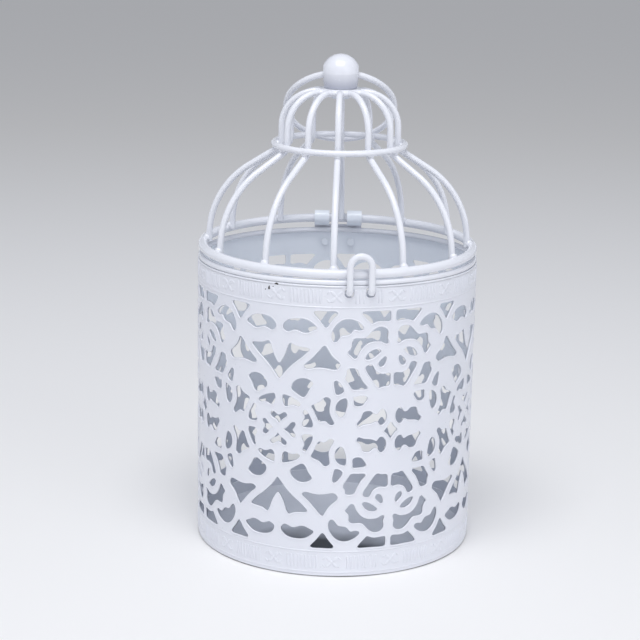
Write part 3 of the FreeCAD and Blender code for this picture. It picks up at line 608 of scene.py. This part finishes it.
def welds():
    bm = bmesh.new()
    around, upward = weldLook["segments"]
    for spot in weldLook["spots"]:
        lump = bmesh.new()
        bmesh.ops.create_uvsphere(lump, u_segments=around, v_segments=upward, radius=mm)
        bmesh.ops.scale(lump, vec=spot["size"], verts=lump.verts)
        here = (Matrix.Translation((0, -spot["radius"] * mm, spot["height"] * mm))
                @ Matrix.Rotation(math.radians(spot["lean"]), 4, "X"))
        for number in range(lidLook["ribs"]):
            turn = math.radians(lidLook["ribTurn"] + number * 360 / lidLook["ribs"])
            addShape(bm, lump, onLid @ Matrix.Rotation(turn, 4, "Z") @ here)
        lump.free()
    newPiece("rib_welds", bm, "lid", enamelOnWire)


welds()

# Crown fill: weld and paint close the gaps between the rib ends, in one soft-edged disc
crownLook = {"height": 43.79, "steps": 72, "sharp": 60, "profile": [
    (4.0, 0.98), (5.0, 0.97), (5.75, 0.82), (6.2, 0.42),
    (6.35, -0.1), (6.15, -0.65), (5.5, -1.02), (4.0, -1.1)]}


def crownFill():
    bm = bmesh.new()
    points = [bm.verts.new((r * mm, 0, (crownLook["height"] + z) * mm)) for r, z in crownLook["profile"]]
    lines = [bm.edges.new(pair) for pair in zip(points, points[1:] + points[:1])]
    bmesh.ops.spin(bm, geom=points + lines, axis=(0, 0, 1), cent=(0, 0, 0), angle=math.tau,
                   steps=crownLook["steps"], use_merge=True)
    bmesh.ops.recalc_face_normals(bm, faces=bm.faces)
    bmesh.ops.transform(bm, matrix=onLid, verts=bm.verts)
    newPiece("crown_fill", bm, "lid", enamelOnWire, crownLook["sharp"])


crownFill()

# CAD nodes that show as they are: each in the enamel of its slot, and the floor plate in its own
finishes = {"sheet_enamel": enamelOnSheet, "wire_enamel": enamelOnWire, "cast_enamel": enamelOnKnob,
            "rivet_enamel": enamelOnRivets}
slotOf = {part["node"]: part["material_slot"] for part in frame["record"]["subparts"]}
for name, node in nodes.items():
    node.data.materials.clear()
    node.data.materials.append(enamelOnFloor if name == "base_plate" else finishes[slotOf[name]])
print("CAD nodes painted")

# Stage: a wide pale board, in metres, a little greyer further out, which keeps down the light bounced onto
# the box and is a painted falloff of light around it
stageLook = {"half": 5.0, "near": "#F6F5F4", "far": "#F1EEE9", "nearTo": 0.12, "farFrom": 1.1,
             "roughness": 0.9, "patch": 0.26, "patchDetail": 2.0, "patchDepth": 0.03}


def matteBoard():
    # Matte painted board: even and without gloss, with broad soft patches, and greyer away from the box as
    # a painted falloff of light
    material, tree, shader = newMaterial("matte_painted_board")
    place = addNode(tree, "ShaderNodeTexCoord").outputs["Object"]
    distance = addNode(tree, "ShaderNodeVectorMath", None, {0: place}, operation="LENGTH")
    # Painted falloff of light: greyer away from the box
    lightFalloff = addNode(tree, "ShaderNodeMapRange",
                   {"From Min": stageLook["nearTo"], "From Max": stageLook["farFrom"]},
                   {"Value": distance.outputs["Value"]}, interpolation_type="SMOOTHSTEP")
    cloud = addNode(tree, "ShaderNodeTexNoise",
                    {"Scale": 1 / stageLook["patch"], "Detail": stageLook["patchDetail"]},
                    {"Vector": place})
    patch = addNode(tree, "ShaderNodeMath", {1: stageLook["patchDepth"]}, {0: cloud.outputs["Fac"]},
                    operation="MULTIPLY")
    blend = addNode(tree, "ShaderNodeMath", None, {0: lightFalloff.outputs["Result"], 1: patch.outputs["Value"]},
                    operation="ADD")
    tint = addNode(tree, "ShaderNodeMix", {"A": linear(stageLook["near"]), "B": linear(stageLook["far"])},
                   {"Factor": blend.outputs["Value"]}, data_type="RGBA")
    tree.links.new(tint.outputs["Result"], shader.inputs["Base Color"])
    shader.inputs["Roughness"].default_value = stageLook["roughness"]
    shader.inputs["Specular IOR Level"].default_value = 0.0
    return material


def stageFloor():
    bm = bmesh.new()
    bmesh.ops.create_grid(bm, x_segments=1, y_segments=1, size=stageLook["half"])
    mesh = bpy.data.meshes.new("board")
    bm.to_mesh(mesh)
    bm.free()
    mesh.materials.append(matteBoard())
    board = bpy.data.objects.new("board", mesh)
    scene.collection.objects.link(board)


stageFloor()
print("stage set")

# Lamps: a soft panel overhead and a weak one at the right, in metres and watts
lampLook = [
    {"name": "overhead_panel", "place": (-0.05, -0.34, 0.85), "aim": (0, -0.05, 0.05), "size": (0.6, 0.4),
     "watts": 4.4, "tint": "#FFFFFF"},
    {"name": "right_panel", "place": (0.6, -0.7, 0.4), "aim": (0, 0, 0.06), "size": (0.5, 0.6),
     "watts": 0.9, "tint": "#FFFFFF"}]
for look in lampLook:
    lamp = bpy.data.lights.new(look["name"], "AREA")
    lamp.shape = "RECTANGLE"
    lamp.size, lamp.size_y = look["size"]
    lamp.energy = look["watts"]
    lamp.color = linear(look["tint"])[:3]
    holder = bpy.data.objects.new(look["name"], lamp)
    holder.location = look["place"]
    way = Vector(look["aim"]) - Vector(look["place"])
    holder.rotation_euler = way.to_track_quat("-Z", "Y").to_euler()
    scene.collection.objects.link(holder)

# Room: pale light from all round, strongest from the front, with a bright low horizon, which the gloss
# shows as a thin line
roomLook = {"colour": "#E2E7F2", "front": 0.7, "back": 0.42, "horizon": 0.035, "horizonHalf": 0.06,
            "horizonGlow": 1.3}


def lightRoom():
    world = bpy.data.worlds.new("room")
    world.use_nodes = True
    scene.world = world
    tree = world.node_tree
    outlook = addNode(tree, "ShaderNodeTexCoord").outputs["Generated"]
    way = addNode(tree, "ShaderNodeSeparateXYZ", None, {"Vector": outlook}).outputs
    glow = addNode(tree, "ShaderNodeMapRange",
                   {"From Min": -1.0, "From Max": 1.0,
                    "To Min": roomLook["front"], "To Max": roomLook["back"]},
                   {"Value": way["Y"]})
    above = addNode(tree, "ShaderNodeMath", {1: roomLook["horizon"]}, {0: way["Z"]}, operation="SUBTRACT")
    away = addNode(tree, "ShaderNodeMath", None, {0: above.outputs["Value"]}, operation="ABSOLUTE")
    line = addNode(tree, "ShaderNodeMapRange",
                   {"From Max": roomLook["horizonHalf"], "To Min": roomLook["horizonGlow"], "To Max": 0.0},
                   {"Value": away.outputs["Value"]})
    whole = addNode(tree, "ShaderNodeMath", None, {0: glow.outputs["Result"], 1: line.outputs["Result"]},
                    operation="ADD")
    sky = tree.nodes["Background"]
    sky.inputs["Color"].default_value = linear(roomLook["colour"])
    tree.links.new(whole.outputs["Value"], sky.inputs["Strength"])


lightRoom()

# Camera as it stood in front of the box, slightly above and a little rolled, with its shift in pixels
cameraLook = {"place": (0.0, -0.480, 0.1785), "pitch": 13.46, "roll": 1.09, "lens": 95.4, "sensor": 36.0,
              "shift": -16.2, "frame": 640, "clip": (0.01, 20.0)}
eye = bpy.data.cameras.new("camera")
eye.lens, eye.sensor_width = cameraLook["lens"], cameraLook["sensor"]
eye.shift_x = cameraLook["shift"] / cameraLook["frame"]
eye.clip_start, eye.clip_end = cameraLook["clip"]
camera = bpy.data.objects.new("camera", eye)
camera.matrix_world = (Matrix.Translation(cameraLook["place"])
                       @ Matrix.Rotation(math.radians(90 - cameraLook["pitch"]), 4, "X")
                       @ Matrix.Rotation(math.radians(cameraLook["roll"]), 4, "Z"))
scene.collection.objects.link(camera)
scene.camera = camera
print("lights and camera placed")
